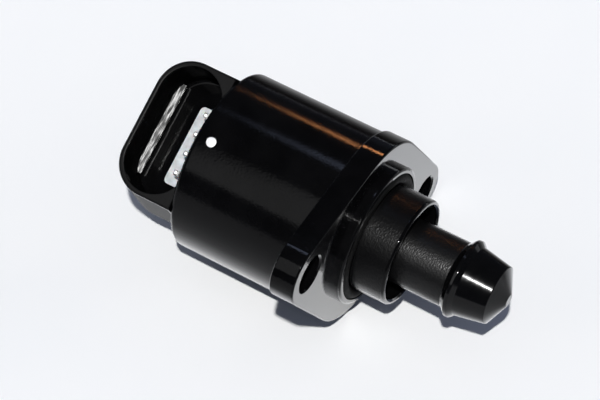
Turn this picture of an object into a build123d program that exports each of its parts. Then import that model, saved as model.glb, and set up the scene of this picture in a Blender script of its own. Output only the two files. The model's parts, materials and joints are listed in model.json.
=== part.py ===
from build123d import *
import os
from math import acos, cos, degrees, radians, sin, sqrt, tan

# Idle air control valve driven by a small stepper motor, in millimetres.
# X is the valve axis with the plunger at the positive end, and zero is the flange's mounting face.
# The pieces are drawn with the connector opening straight up, then rolled until the valve lies on the
# straight lower edge of its flange.

# Barrel of the motor housing
BARREL_R = 17.5
BARREL_LENGTH = 27.2
BARREL_WALL = 1.5
REAR_WALL = 1.8
REAR_ROUND = 0.9
DIMPLE_R = 1.0
DIMPLE_DEPTH = 0.3
DIMPLE_SETBACK = 3.3
DIMPLE_OFFSET = 0.6

# Connector shell behind the barrel
SHELL_LENGTH = 13.6
SHELL_WIDTH = 26.8
SHELL_CORNER_R = 6.8
SHELL_WALL = 0.9
SHELL_FLOOR = 3.5
SHELL_DRAFT_DEG = 6.0
SHELL_FOOT_ROUND = 1.0
RIM_HEIGHT = 12.0
RIM_ROUND = 0.45
WELL_DEPTH = 10.0
WELL_FRONT_WALL = 0.3
WELL_FOOT_ROUND = 0.8
MOUTH_ROUND = 0.2
STEP_LENGTH = 18.4
STEP_DEPTH = 1.3
STEP_HEIGHT = 1.4
STEP_SLOPE_DEG = 18.0

# Connector pins and the strip that carries them
PIN_COUNT = 4
PIN_PITCH = 3.96
PIN_SIDE = 1.0
PIN_HEIGHT = 5.0
PIN_POINT = 0.3
PIN_SETBACK = 4.0
PIN_SHIFT = -0.45
PIN_DROP = 1.8
PIN_FIT = 0.05
CARRIER_WIDTH = 4.8
CARRIER_OFFSET = -0.8
CARRIER_DEPTH = 0.9
CARRIER_PROUD = 0.3
CARRIER_END = 2.0
CARRIER_SHIFT = -0.7
CARRIER_CORNER_R = 0.9

# Flange with two ears
FLANGE_T = 4.8
FLANGE_R = 18.1
FLANGE_ROUND = 0.4
FLANGE_REAR_ROUND = 0.3
EAR_R = 6.0
EAR_ANGLE = 32.0
BOLT_SPACING = 48.0
BOLT_HOLE_R = 3.5
BOLT_CHAMFER = 0.3

# Collar, face seal and sleeve in front of the flange
COLLAR_R = 13.7
COLLAR_HEIGHT = 2.0
COLLAR_WALL = 1.0
SLEEVE_R = 10.4
SLEEVE_LENGTH = 9.0
SLEEVE_WALL = 1.0
LIP_ROUND = 0.55
BORE_CHAMFER = 0.3
SEAL_FIT = 0.05
SEAL_PROUD = 0.3
RECESS_DEPTH = 2.0

# Register that closes the barrel, with its seal
REGISTER_LENGTH = 2.2
REGISTER_WALL = 2.6
REGISTER_FIT = 0.05
HOUSING_CORD = 1.2

# Stator of two claw-pole cups
TERMINAL_SPACE = 3.0
LEDGE = 1.7
STACK_FIT = 0.1
SHEET = 0.8
END_PLATE_T = 1.0
PLATE_LAP = 1.1
POLE_COUNT = 6
POLE_ROOT = 4.2
POLE_TIP = 2.6
POLE_TIP_GAP = 0.8
BOBBIN_WALL = 0.7
BOBBIN_FIT = 0.15
COIL_MARGIN = 0.5
BLOCK_T = 1.2
BLOCK_END = 1.0
BLOCK_MARGIN = 0.2

# Rotor in its two bushes
AIR_GAP = 0.3
HUB_R = 5.4
MAGNET_MARGIN = 0.6
JOURNAL_R = 3.5
JOURNAL_FIT = 0.04
BUSH_WALL = 1.5
BUSH_LENGTH = 2.6
BUSH_END = 0.2
THRUST_GAP = 0.15
NUT_R = 3.8
NUT_LENGTH = 6.0
NUT_INSET = 1.5

# Screw, guide and plunger
SCREW_R = 2.0
SCREW_FIT = 0.05
SCREW_TAIL = 0.5
SCREW_FLAT = 1.55
BORE_ROOM = 0.3
GUIDE_R = 4.5
GUIDE_LENGTH = 3.4
GUIDE_BOSS_WALL = 1.5
RETRACT_STROKE = 8.0
STOP_GAP = 1.0
PINTLE_R = 6.4
SKIRT_WALL = 1.8
SKIRT_DEPTH = 6.0
RIB_R = 7.55
RIB_X = 19.7
RIB_CREST = 0.6
RIB_SLOPE = 1.2
RIB_ROUND = 0.25
SEAT_START = 20.85
SEAT_START_R = 6.72
SEAT_END = 26.6
SEAT_END_R = 5.65
TIP_LENGTH = 2.2
TIP_R = 1.2
SCREW_COVER = 4.6

# Stations along the axis, worked out from the sizes above
barrel_front = -FLANGE_T
barrel_rear = barrel_front - BARREL_LENGTH
cavity_rear = barrel_rear + REAR_WALL
stack_rear = cavity_rear + TERMINAL_SPACE
register_rear = barrel_front - REGISTER_LENGTH
stack_front = register_rear - END_PLATE_T
stack_mid = (stack_rear + stack_front) / 2
recess_floor = -RECESS_DEPTH
shell_rear = barrel_rear - SHELL_LENGTH
well_floor = RIM_HEIGHT - WELL_DEPTH
shell_bottom = well_floor - SHELL_FLOOR
shell_flare = (RIM_HEIGHT - shell_bottom) * tan(radians(SHELL_DRAFT_DEG))
pin_x = barrel_rear - PIN_SETBACK
pin_run_z = well_floor - PIN_DROP
pin_post_x = (cavity_rear + stack_rear - END_PLATE_T) / 2
pintle_rear = recess_floor + RETRACT_STROKE + STOP_GAP
tip_x = SEAT_END + TIP_LENGTH
screw_front = tip_x - TIP_LENGTH - SCREW_COVER
guide_rear = recess_floor - GUIDE_LENGTH

# Radii that follow from the sizes above, with the magnet and the winding sharing the depth between them
cavity_r = BARREL_R - BARREL_WALL
stack_r = cavity_r - STACK_FIT
ledge_r = stack_r - LEDGE
cup_inner_r = stack_r - SHEET
bobbin_r = cup_inner_r - BOBBIN_FIT
active_depth = bobbin_r - BOBBIN_WALL - BOBBIN_FIT - SHEET - AIR_GAP - HUB_R
magnet_r = HUB_R + active_depth / 2
pole_bore_r = magnet_r + AIR_GAP
pole_outer_r = pole_bore_r + SHEET
core_inner_r = pole_outer_r + BOBBIN_FIT
core_outer_r = core_inner_r + BOBBIN_WALL
bush_bore_r = JOURNAL_R + JOURNAL_FIT
bush_r = bush_bore_r + BUSH_WALL
sleeve_bore_r = SLEEVE_R - SLEEVE_WALL
register_r = cavity_r - REGISTER_FIT

# Angle between the line of the ears and the straight edges of the flange, and the roll it gives
lean = acos((FLANGE_R - EAR_R) / (BOLT_SPACING / 2))
lie_roll = degrees(lean) - EAR_ANGLE

# Terminal block of the rear bobbin, as high as the ledge round it allows
block_width = (PIN_COUNT - 1) * PIN_PITCH + PIN_SIDE + 2 * BLOCK_END
block_near = PIN_SHIFT - block_width / 2
block_far = PIN_SHIFT + block_width / 2
block_reach = max(-block_near, block_far)
block_top = sqrt((ledge_r - BLOCK_MARGIN) ** 2 - block_reach ** 2)
block_foot = block_top - BLOCK_T


def turned(points, rounds=()):
    """A solid turned about X from (x, radius) points, with (point number, radius) rounds."""
    face = Polygon(*points, align=None)
    for number, radius in rounds:
        corner = face.vertices().sort_by_distance((*points[number], 0))[0]
        face = fillet(corner, radius)
    return revolve(face, Axis.X, 360)


def ring(x0, x1, outer, inner=0.0):
    """A plain ring or disc between two stations."""
    return turned([(x0, inner), (x1, inner), (x1, outer), (x0, outer)])


def cord_ring(x, radius, cord):
    """An O-ring about the axis."""
    return revolve(Pos(x, radius) * Circle(cord / 2), Axis.X, 360)


def block(x0, x1, y0, y1, z0, z1):
    """A box between two corners."""
    size = Box(x1 - x0, y1 - y0, z1 - z0)
    return Pos((x0 + x1) / 2, (y0 + y1) / 2, (z0 + z1) / 2) * size


# Connector pins: up in the well, along under its floor, and up again to the terminal block
def pin(y, side, top, post_top):
    """One pin of square section."""
    half = side / 2
    blade = block(pin_x - half, pin_x + half, y - half, y + half, pin_run_z - half, top)
    run = block(pin_x - half, pin_post_x + half, y - half, y + half, pin_run_z - half, pin_run_z + half)
    post = block(pin_post_x - half, pin_post_x + half, y - half, y + half, pin_run_z - half, post_top)
    return blade + run + post


row_half = PIN_PITCH * (PIN_COUNT - 1) / 2
pin_places = [PIN_SHIFT - row_half + PIN_PITCH * number for number in range(PIN_COUNT)]
pin_top = well_floor + PIN_HEIGHT
channel_side = PIN_SIDE + 2 * PIN_FIT
pins = []
channels = []
for place in pin_places:
    bare = pin(place, PIN_SIDE, pin_top, block_top)
    tip_face = bare.faces().sort_by_distance((pin_x, place, pin_top))[0]
    pins.append(chamfer(tip_face.edges(), PIN_POINT))
    channels.append(pin(place, channel_side, pin_top, block_top + PIN_FIT))

# Strip at the feet of the pins, let into the floor of the well
carrier_length = 2 * (row_half + CARRIER_END)
carrier_plan = RectangleRounded(CARRIER_WIDTH, carrier_length, CARRIER_CORNER_R)
carrier_blank = Pos(pin_x + CARRIER_OFFSET, CARRIER_SHIFT, well_floor - CARRIER_DEPTH) * extrude(
    carrier_plan, CARRIER_DEPTH + CARRIER_PROUD
)
terminal_carrier = carrier_blank
for channel in channels:
    terminal_carrier = terminal_carrier - channel

# Motor housing: barrel, connector shell and the cavities of both
barrel = turned(
    [(barrel_rear, 0), (barrel_front, 0), (barrel_front, BARREL_R), (barrel_rear, BARREL_R)],
    [(3, REAR_ROUND)],
)


def shell_plan(x0, x1, width, rear_r):
    """Plan of the connector seen along its opening, rounded at the rear and square at the barrel."""
    plan = Pos((x0 + x1) / 2, 0) * Rectangle(x1 - x0, width)
    return fillet(plan.vertices().group_by(Axis.X)[0], rear_r)


shell = Pos(0, 0, shell_bottom) * extrude(
    shell_plan(
        shell_rear - shell_flare,
        barrel_rear + shell_flare,
        SHELL_WIDTH + 2 * shell_flare,
        SHELL_CORNER_R + shell_flare,
    ),
    RIM_HEIGHT - shell_bottom,
    taper=SHELL_DRAFT_DEG,
)
outer_edges = shell.edges().filter_by(lambda edge: edge.center().X < barrel_rear - RIM_ROUND)
shell = fillet(outer_edges.group_by(Axis.Z)[-1], RIM_ROUND)
outer_edges = shell.edges().filter_by(lambda edge: edge.center().X < barrel_rear - RIM_ROUND)
shell = fillet(outer_edges.group_by(Axis.Z)[0], SHELL_FOOT_ROUND)
well_rear = shell_rear + SHELL_WALL
well_front = barrel_rear - WELL_FRONT_WALL
well_plan = SlotOverall(SHELL_WIDTH - 2 * SHELL_WALL, well_front - well_rear, rotation=90)
well = Pos((well_rear + well_front) / 2, 0, well_floor) * extrude(well_plan, WELL_DEPTH)
well = fillet(well.edges().group_by(Axis.Z)[0], WELL_FOOT_ROUND)
step_top = well_floor + STEP_HEIGHT
step_profile = Polygon(
    (well_rear, well_floor),
    (well_rear + STEP_DEPTH, well_floor),
    (well_rear + STEP_DEPTH, step_top),
    (well_rear, step_top + STEP_DEPTH * tan(radians(STEP_SLOPE_DEG))),
    align=None,
)
step = extrude(Plane.XZ * step_profile, STEP_LENGTH / 2, both=True)
shell = shell - (well - step)
rim_face = shell.faces().sort_by(Axis.Z)[-1]
shell = fillet(rim_face.inner_wires()[0].edges(), MOUTH_ROUND)
dimple_place = Pos(barrel_rear + DIMPLE_SETBACK, DIMPLE_OFFSET, BARREL_R)
dimple = dimple_place * Cylinder(DIMPLE_R, 2 * DIMPLE_DEPTH)
motor_housing = barrel + shell - dimple
motor_housing -= ring(cavity_rear, stack_rear, ledge_r)
motor_housing -= ring(stack_rear, barrel_front, cavity_r)
motor_housing -= carrier_blank
for channel in channels:
    motor_housing -= channel

# Flange cover: plate with two ears, collar, sleeve, guide boss and register
ear_sides = [
    (sign * FLANGE_R * sin(lean), FLANGE_R * cos(lean)) for sign in (-1, 1)
] + [
    (sign * EAR_R * sin(lean), BOLT_SPACING / 2 + EAR_R * cos(lean)) for sign in (1, -1)
]
ear = Pos(0, BOLT_SPACING / 2) * Circle(EAR_R) + Polygon(*ear_sides, align=None)
outline = Circle(FLANGE_R) + ear + Rot(0, 0, 180) * ear
ear_frame = Rot(0, 0, EAR_ANGLE)
plate = Pos(barrel_front, 0, 0) * extrude(Plane.YZ * ear_frame * outline, FLANGE_T)
plate = fillet(plate.edges().group_by(Axis.X)[-1], FLANGE_ROUND)
plate = fillet(plate.edges().group_by(Axis.X)[0], FLANGE_REAR_ROUND)
bolt_places = [Plane.YZ * ear_frame * Pos(0, sign * BOLT_SPACING / 2) for sign in (1, -1)]
bolt_mouth = Pos(0, 0, -BOLT_CHAMFER / 2) * Cone(BOLT_HOLE_R, BOLT_HOLE_R + BOLT_CHAMFER, BOLT_CHAMFER)
for place in bolt_places:
    plate -= place * Cylinder(BOLT_HOLE_R, 3 * FLANGE_T)
    plate -= place * bolt_mouth
collar = turned(
    [(barrel_front / 2, 0), (COLLAR_HEIGHT, 0), (COLLAR_HEIGHT, COLLAR_R), (barrel_front / 2, COLLAR_R)],
    [(2, LIP_ROUND)],
)
seal_groove_r = COLLAR_R - COLLAR_WALL
seal_cord = seal_groove_r - SLEEVE_R - 2 * SEAL_FIT
seal_floor = COLLAR_HEIGHT + SEAL_PROUD - seal_cord
sleeve = turned(
    [(barrel_front / 2, 0), (SLEEVE_LENGTH, 0), (SLEEVE_LENGTH, SLEEVE_R), (barrel_front / 2, SLEEVE_R)],
    [(2, LIP_ROUND)],
)
recess = turned(
    [
        (recess_floor, 0),
        (SLEEVE_LENGTH, 0),
        (SLEEVE_LENGTH, sleeve_bore_r + BORE_CHAMFER),
        (SLEEVE_LENGTH - BORE_CHAMFER, sleeve_bore_r),
        (recess_floor, sleeve_bore_r),
    ]
)
boss = ring(guide_rear, barrel_front, GUIDE_R + GUIDE_BOSS_WALL)
register = ring(register_rear, barrel_front, register_r, register_r - REGISTER_WALL)
housing_seal_x = (register_rear + barrel_front) / 2
housing_seal_r = register_r - HOUSING_CORD / 2
flange_cover = plate + collar - ring(seal_floor, COLLAR_HEIGHT, seal_groove_r) + sleeve - recess
flange_cover = flange_cover + boss + register
flange_cover -= ring(guide_rear, recess_floor, GUIDE_R)
flange_cover -= ring(
    housing_seal_x - HOUSING_CORD / 2,
    housing_seal_x + HOUSING_CORD / 2,
    register_r + REGISTER_FIT,
    register_r - HOUSING_CORD,
)
nose_seal = cord_ring(seal_floor + seal_cord / 2, (seal_groove_r + SLEEVE_R) / 2, seal_cord)
housing_seal = cord_ring(housing_seal_x, housing_seal_r, HOUSING_CORD)


# Stator: two cups and two plates, each with its ring of tapered claw poles
def claw_poles(root_x, direction, length, turn):
    """Tapered poles on the rotor's bore, pointing along X in one direction from their root."""
    plan = Polygon(
        (root_x, -POLE_ROOT / 2),
        (root_x + direction * length, -POLE_TIP / 2),
        (root_x + direction * length, POLE_TIP / 2),
        (root_x, POLE_ROOT / 2),
        align=None,
    )
    tooth = extrude(plan, pole_bore_r + 2 * SHEET)
    near, far = sorted((root_x, root_x + direction * length))
    tooth = tooth & ring(near, far, pole_outer_r, pole_bore_r)
    return [Rot(turn + 360 * number / POLE_COUNT, 0, 0) * tooth for number in range(POLE_COUNT)]


half_pitch = 180 / POLE_COUNT
pole_length = (stack_front - stack_rear) / 2 - SHEET - POLE_TIP_GAP
notch = block(
    pin_post_x - PIN_SIDE,
    stack_rear + SHEET + BOBBIN_FIT,
    block_near - BLOCK_MARGIN,
    block_far + BLOCK_MARGIN,
    block_foot - BLOCK_MARGIN,
    BARREL_R,
)


def stator_cup(end_x, direction):
    """Drawn cup with its end wall at end_x, open in the given direction."""
    end = sorted((end_x, end_x + direction * SHEET))
    side = sorted((end_x, stack_mid))
    cup = ring(*end, stack_r, pole_bore_r) + ring(*side, stack_r, cup_inner_r)
    for pole in claw_poles(end_x, direction, SHEET + pole_length, half_pitch):
        cup = cup + pole
    return cup


def stator_plate(direction):
    """Flat plate at the middle of the stack, with poles that point away from it."""
    near, far = sorted((stack_mid, stack_mid + direction * SHEET))
    disc = ring(near, far, cup_inner_r - STACK_FIT, pole_bore_r)
    for pole in claw_poles(stack_mid, direction, SHEET + pole_length, 0):
        disc = disc + pole
    return disc


def bobbin_span(end_x, direction):
    """Stations of a bobbin between the end wall of its cup and the plate at the middle."""
    return sorted((end_x + direction * SHEET, stack_mid - direction * SHEET))


def bobbin(end_x, direction):
    """Spool round the poles of one cup."""
    near, far = bobbin_span(end_x, direction)
    spool = ring(near, far, core_outer_r, core_inner_r)
    spool = spool + ring(near, near + BOBBIN_WALL, bobbin_r, core_inner_r)
    return spool + ring(far - BOBBIN_WALL, far, bobbin_r, core_inner_r)


def coil(end_x, direction):
    """Winding that fills the spool."""
    near, far = bobbin_span(end_x, direction)
    wall = BOBBIN_WALL + BOBBIN_FIT
    return ring(near + wall, far - wall, bobbin_r - COIL_MARGIN, core_outer_r + BOBBIN_FIT)


rear_stator_cup = stator_cup(stack_rear, 1) - notch
front_stator_cup = stator_cup(stack_front, -1)
rear_stator_plate = stator_plate(-1)
front_stator_plate = stator_plate(1)
terminal_block = block(
    pin_post_x - PIN_SIDE / 2,
    stack_rear + SHEET,
    block_near,
    block_far,
    block_foot,
    block_top,
)
rear_bobbin = bobbin(stack_rear, 1) + terminal_block
for channel in channels:
    rear_bobbin -= channel
front_bobbin = bobbin(stack_front, -1)
rear_coil = coil(stack_rear, 1)
front_coil = coil(stack_front, -1)

# End plates with the bushes that carry the rotor
rear_end_plate = ring(stack_rear - END_PLATE_T, stack_rear, pole_bore_r + PLATE_LAP, bush_r) - notch
front_end_plate = ring(stack_front, register_rear, stack_r, bush_r)
rear_bush_x = stack_rear - END_PLATE_T
front_bush_x = register_rear - BUSH_LENGTH
rear_bush = ring(rear_bush_x, rear_bush_x + BUSH_LENGTH, bush_r, bush_bore_r)
front_bush = ring(front_bush_x, register_rear, bush_r, bush_bore_r)

# Rotor: hub with two journals, ring magnet and brass nut
hub_rear = rear_bush_x + BUSH_LENGTH + THRUST_GAP
hub_front = front_bush_x - THRUST_GAP
nut_front = hub_front - NUT_INSET
nut_rear = nut_front - NUT_LENGTH
screw_way_r = SCREW_R + BORE_ROOM
rotor_hub = ring(rear_bush_x + BUSH_END, register_rear - BUSH_END, JOURNAL_R)
rotor_hub = rotor_hub + ring(hub_rear, hub_front, HUB_R)
rotor_hub -= ring(rear_bush_x, register_rear, screw_way_r)
rotor_hub -= ring(nut_rear, nut_front, NUT_R)
rotor_magnet = ring(hub_rear + MAGNET_MARGIN, hub_front - MAGNET_MARGIN, magnet_r, HUB_R)
lead_nut = ring(nut_rear, nut_front, NUT_R, SCREW_R + SCREW_FIT)


# Screw that can't turn, its flatted guide, and the plunger on its end
def flatted(x0, x1, radius, flat):
    """A round bar with two flats, along the axis."""
    return ring(x0, x1, radius) & block(x0, x1, -flat, flat, -radius, radius)


screw_rear = nut_rear - SCREW_TAIL
skirt_floor = pintle_rear + SKIRT_DEPTH
lead_screw = ring(screw_rear, nut_front, SCREW_R) + ring(skirt_floor, screw_front, SCREW_R)
lead_screw = lead_screw + flatted(nut_front, skirt_floor, SCREW_R, SCREW_FLAT)
guide_bush = ring(guide_rear, recess_floor, GUIDE_R)
guide_bush -= flatted(guide_rear, recess_floor, SCREW_R + SCREW_FIT, SCREW_FLAT + SCREW_FIT)
pintle = turned(
    [
        (pintle_rear, PINTLE_R - SKIRT_WALL),
        (skirt_floor, PINTLE_R - SKIRT_WALL),
        (skirt_floor, SCREW_R),
        (screw_front, SCREW_R),
        (screw_front, 0),
        (tip_x, 0),
        (tip_x, TIP_R),
        (SEAT_END, SEAT_END_R),
        (SEAT_START, SEAT_START_R),
        (RIB_X + RIB_CREST / 2, RIB_R),
        (RIB_X - RIB_CREST / 2, RIB_R),
        (RIB_X - RIB_CREST / 2 - RIB_SLOPE, PINTLE_R),
        (pintle_rear, PINTLE_R),
    ],
    [(10, RIB_ROUND), (9, RIB_ROUND), (6, RIB_ROUND), (7, RIB_ROUND)],
)

pieces = {
    "motor_housing": motor_housing,
    "flange_cover": flange_cover,
    "nose_seal": nose_seal,
    "housing_seal": housing_seal,
    "terminal_carrier": terminal_carrier,
    "rear_stator_cup": rear_stator_cup,
    "rear_stator_plate": rear_stator_plate,
    "front_stator_plate": front_stator_plate,
    "front_stator_cup": front_stator_cup,
    "rear_bobbin": rear_bobbin,
    "front_bobbin": front_bobbin,
    "rear_coil": rear_coil,
    "front_coil": front_coil,
    "rear_end_plate": rear_end_plate,
    "front_end_plate": front_end_plate,
    "rear_bush": rear_bush,
    "front_bush": front_bush,
    "rotor_hub": rotor_hub,
    "rotor_magnet": rotor_magnet,
    "lead_nut": lead_nut,
    "guide_bush": guide_bush,
    "lead_screw": lead_screw,
    "pintle": pintle,
}
for number, piece in enumerate(pins, start=1):
    pieces[f"terminal_pin_{number}"] = piece

os.makedirs("parts", exist_ok=True)
lie = Rot(lie_roll, 0, 0)
for name, piece in pieces.items():
    export_step(lie * piece, f"parts/{name}.step")
    print(name, round(piece.volume, 1), len(piece.solids()))
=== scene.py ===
"""Finishes, small parts and studio of an idle air control valve, set around its solids.

Lengths are metres. X is the valve axis, with the plunger at the positive end and zero at the flange's mounting
face. The valve was drawn with its connector opening straight up and then rolled about X until it lies on the
straight lower edge of its flange, so each place that belongs to the connector is written as drawn and rolled.
"""

from __future__ import annotations

import json
import logging
import math
from abc import ABC, abstractmethod
from dataclasses import dataclass, replace
from enum import Enum
from typing import Any

import bpy
import numpy as np
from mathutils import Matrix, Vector

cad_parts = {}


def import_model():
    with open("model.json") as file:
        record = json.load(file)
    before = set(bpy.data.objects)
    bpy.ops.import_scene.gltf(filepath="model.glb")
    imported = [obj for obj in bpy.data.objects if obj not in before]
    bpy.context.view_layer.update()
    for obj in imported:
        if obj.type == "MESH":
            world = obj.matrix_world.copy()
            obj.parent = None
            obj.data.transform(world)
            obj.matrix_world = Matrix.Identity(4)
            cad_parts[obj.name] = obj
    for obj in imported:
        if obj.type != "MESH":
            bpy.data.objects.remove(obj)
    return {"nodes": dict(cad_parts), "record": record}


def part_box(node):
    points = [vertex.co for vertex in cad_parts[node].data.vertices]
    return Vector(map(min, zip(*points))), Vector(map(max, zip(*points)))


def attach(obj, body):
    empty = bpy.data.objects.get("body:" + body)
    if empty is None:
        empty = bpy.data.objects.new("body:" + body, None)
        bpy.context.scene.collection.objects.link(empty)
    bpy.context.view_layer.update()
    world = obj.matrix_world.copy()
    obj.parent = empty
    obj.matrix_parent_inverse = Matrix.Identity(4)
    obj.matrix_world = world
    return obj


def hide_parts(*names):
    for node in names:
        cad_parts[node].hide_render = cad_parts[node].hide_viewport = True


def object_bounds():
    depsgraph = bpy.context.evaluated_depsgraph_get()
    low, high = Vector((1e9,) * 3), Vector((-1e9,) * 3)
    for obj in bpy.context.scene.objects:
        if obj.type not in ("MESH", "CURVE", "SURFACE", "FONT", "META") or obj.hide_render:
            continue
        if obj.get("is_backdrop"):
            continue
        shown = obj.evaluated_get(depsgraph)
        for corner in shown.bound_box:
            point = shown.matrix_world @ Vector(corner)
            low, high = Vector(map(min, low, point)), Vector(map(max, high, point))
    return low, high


LOG = logging.getLogger("valve")
MM = 0.001
FULL_TURN = 2 * math.pi
TINY = 1e-6

# Values that soft noise mostly lies between.
NOISE_LOW, NOISE_HIGH = 0.3, 0.7
# Angle in degrees above which an edge is sharp.
CREASE = 40.0
# Blender's power of a flat lamp over its area and its brightness.
POWER_SHARE = 4.0
# Roughness and share of the gloss of plain paper.
PAPER_ROUGH, PAPER_GLOSS = 0.9, 0.1

Colour = tuple[float, float, float]
Point = tuple[float, float, float]
Range = tuple[float, float]
Socket = bpy.types.NodeSocket
Nodes = dict[str, bpy.types.Object]


class Body(Enum):
    """Bodies of the valve, each of which moves as one."""

    VALVE = "valve_body"
    ROTOR = "rotor"
    PLUNGER = "plunger"


class Ends(Enum):
    """How the rows of a surface end: in a cap at each end, or joined into a ring."""

    CAPPED = "capped"
    JOINED = "joined"


# Shapes


def put(name: str, data: bpy.types.ID) -> bpy.types.Object:
    """A new object at the origin of the scene, with its data.

    Args:
        name: Name of the new object.
        data: Its mesh, lamp or camera.

    Returns:
        The object.
    """
    piece = bpy.data.objects.new(name, data)
    bpy.context.scene.collection.objects.link(piece)
    return piece


def quads(rows: int, columns: int, ends: Ends) -> np.ndarray:
    """Corner numbers of the faces of a grid that closes round its columns.

    Args:
        rows: Number of rows of points.
        columns: Number of points in each row.
        ends: Whether the last row also joins the first.

    Returns:
        One line of four point numbers for each face.
    """
    last = rows if ends is Ends.JOINED else rows - 1
    row, column = np.meshgrid(np.arange(last), np.arange(columns), indexing="ij")
    row, column = row.ravel(), column.ravel()
    next_row, next_column = (row + 1) % rows, (column + 1) % columns
    corners = ((row, column), (row, next_column), (next_row, next_column), (next_row, column))
    return np.stack([r * columns + c for r, c in corners], axis=1)


def signed_volume(points: np.ndarray, faces: list[list[int]]) -> float:
    """Volume inside a closed mesh, negative when its faces point inwards.

    The sum over the faces of the box product of three of their corners has the sign of the volume.

    Args:
        points: Points of the mesh, one line each.
        faces: Corner numbers of each face.

    Returns:
        The sum, of which only the sign is used.
    """
    three = np.array([face[:3] for face in faces])
    a, b, c = (points[three[:, k]] for k in range(3))
    return float(np.einsum("ij,ij->i", a, np.cross(b, c)).sum())


def surface(name: str, grid: np.ndarray, ends: Ends, crease: float = CREASE) -> bpy.types.Object:
    """A closed mesh from a grid of points that runs round in its columns.

    Args:
        name: Name of the new object.
        grid: Points by row, column and coordinate.
        ends: Whether the rows end in caps or join into a ring.
        crease: Angle in degrees above which an edge is sharp.

    Returns:
        The object, at the origin, with its place in its mesh.
    """
    rows, columns, _ = grid.shape
    points = grid.reshape(-1, 3)
    faces = quads(rows, columns, ends).tolist()
    if ends is Ends.CAPPED:
        around = np.arange(columns)
        following = (around + 1) % columns
        first, last = len(points), len(points) + 1
        top = (rows - 1) * columns
        points = np.vstack([points, grid[0].mean(axis=0), grid[-1].mean(axis=0)])
        faces += np.stack([following, around, np.full(columns, first)], axis=1).tolist()
        faces += np.stack([top + around, top + following, np.full(columns, last)], axis=1).tolist()
    if signed_volume(points - points.mean(axis=0), faces) < 0:
        faces = [face[::-1] for face in faces]
    mesh = bpy.data.meshes.new(name)
    mesh.from_pydata(points.tolist(), [], faces)
    mesh.shade_smooth()
    mesh.set_sharp_from_angle(angle=math.radians(crease))
    mesh.update()
    return put(name, mesh)


def one_turn(columns: int) -> np.ndarray:
    """Evenly spaced angles of one turn in radians, as a row of a grid."""
    return np.linspace(0, FULL_TURN, columns, endpoint=False)[None, :]


def about_axis(x: np.ndarray, radius: np.ndarray, turn: np.ndarray) -> np.ndarray:
    """Points at stations along the valve axis, at distances from it, turned about it from +Y towards +Z."""
    x, radius, turn = np.broadcast_arrays(x, radius, turn)
    return np.stack([x, radius * np.cos(turn), radius * np.sin(turn)], axis=-1)


@dataclass(frozen=True)
class Lying:
    """The roll about X that takes the valve from how it is drawn to how it lies.

    Attributes:
        roll: Angle about X in radians.
    """

    roll: float

    @classmethod
    def of_record(cls, record: dict[str, Any]) -> Lying:
        """The roll from straight up to the way that the record's connector mount opens."""
        _, across, up = next(m["axis"] for m in record["mounts"] if m["name"] == "connector")
        return cls(math.atan2(-across, up))

    def lay(self, points: np.ndarray) -> np.ndarray:
        """Points as drawn, turned about X by the roll.

        Args:
            points: Points as drawn.

        Returns:
            Points as they lie.
        """
        cosine, sine = math.cos(self.roll), math.sin(self.roll)
        x, y, z = np.moveaxis(points, -1, 0)
        return np.stack([x, y * cosine - z * sine, y * sine + z * cosine], axis=-1)


@dataclass(frozen=True)
class Thread:
    """Right-hand thread of trapezoid section about X.

    Attributes:
        crest_r: Radius of the crests.
        depth: Depth from crest to root.
        pitch: Travel for one turn.
        steepness: Rise of the flanks; a larger value leaves wider flats at crest and root.
    """

    crest_r: float
    depth: float = 0.36 * MM
    pitch: float = 1.0 * MM
    steepness: float = 2.4

    def radius(self, x: np.ndarray, turn: np.ndarray, run: Range) -> np.ndarray:
        """Radius of the thread at a station and a turn.

        A triangle wave of x / pitch minus turn / 360 degrees is made steeper and clipped into a trapezoid. Its
        depth fades to nothing over half a pitch at both ends of the run.

        Args:
            x: Stations along the axis.
            turn: Angles about X in radians.
            run: First and last station of the threaded length.

        Returns:
            Radii with the shape of the arguments.
        """
        phase = np.mod(x / self.pitch - turn / FULL_TURN, 1.0)
        triangle = np.abs(2 * phase - 1) - 0.5
        trapezoid = np.clip(triangle * self.steepness + 0.5, 0, 1)
        inside = np.minimum(x - run[0], run[1] - x) / (self.pitch / 2)
        return self.crest_r - self.depth * trapezoid * np.clip(inside, 0, 1)


# Node graphs


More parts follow.
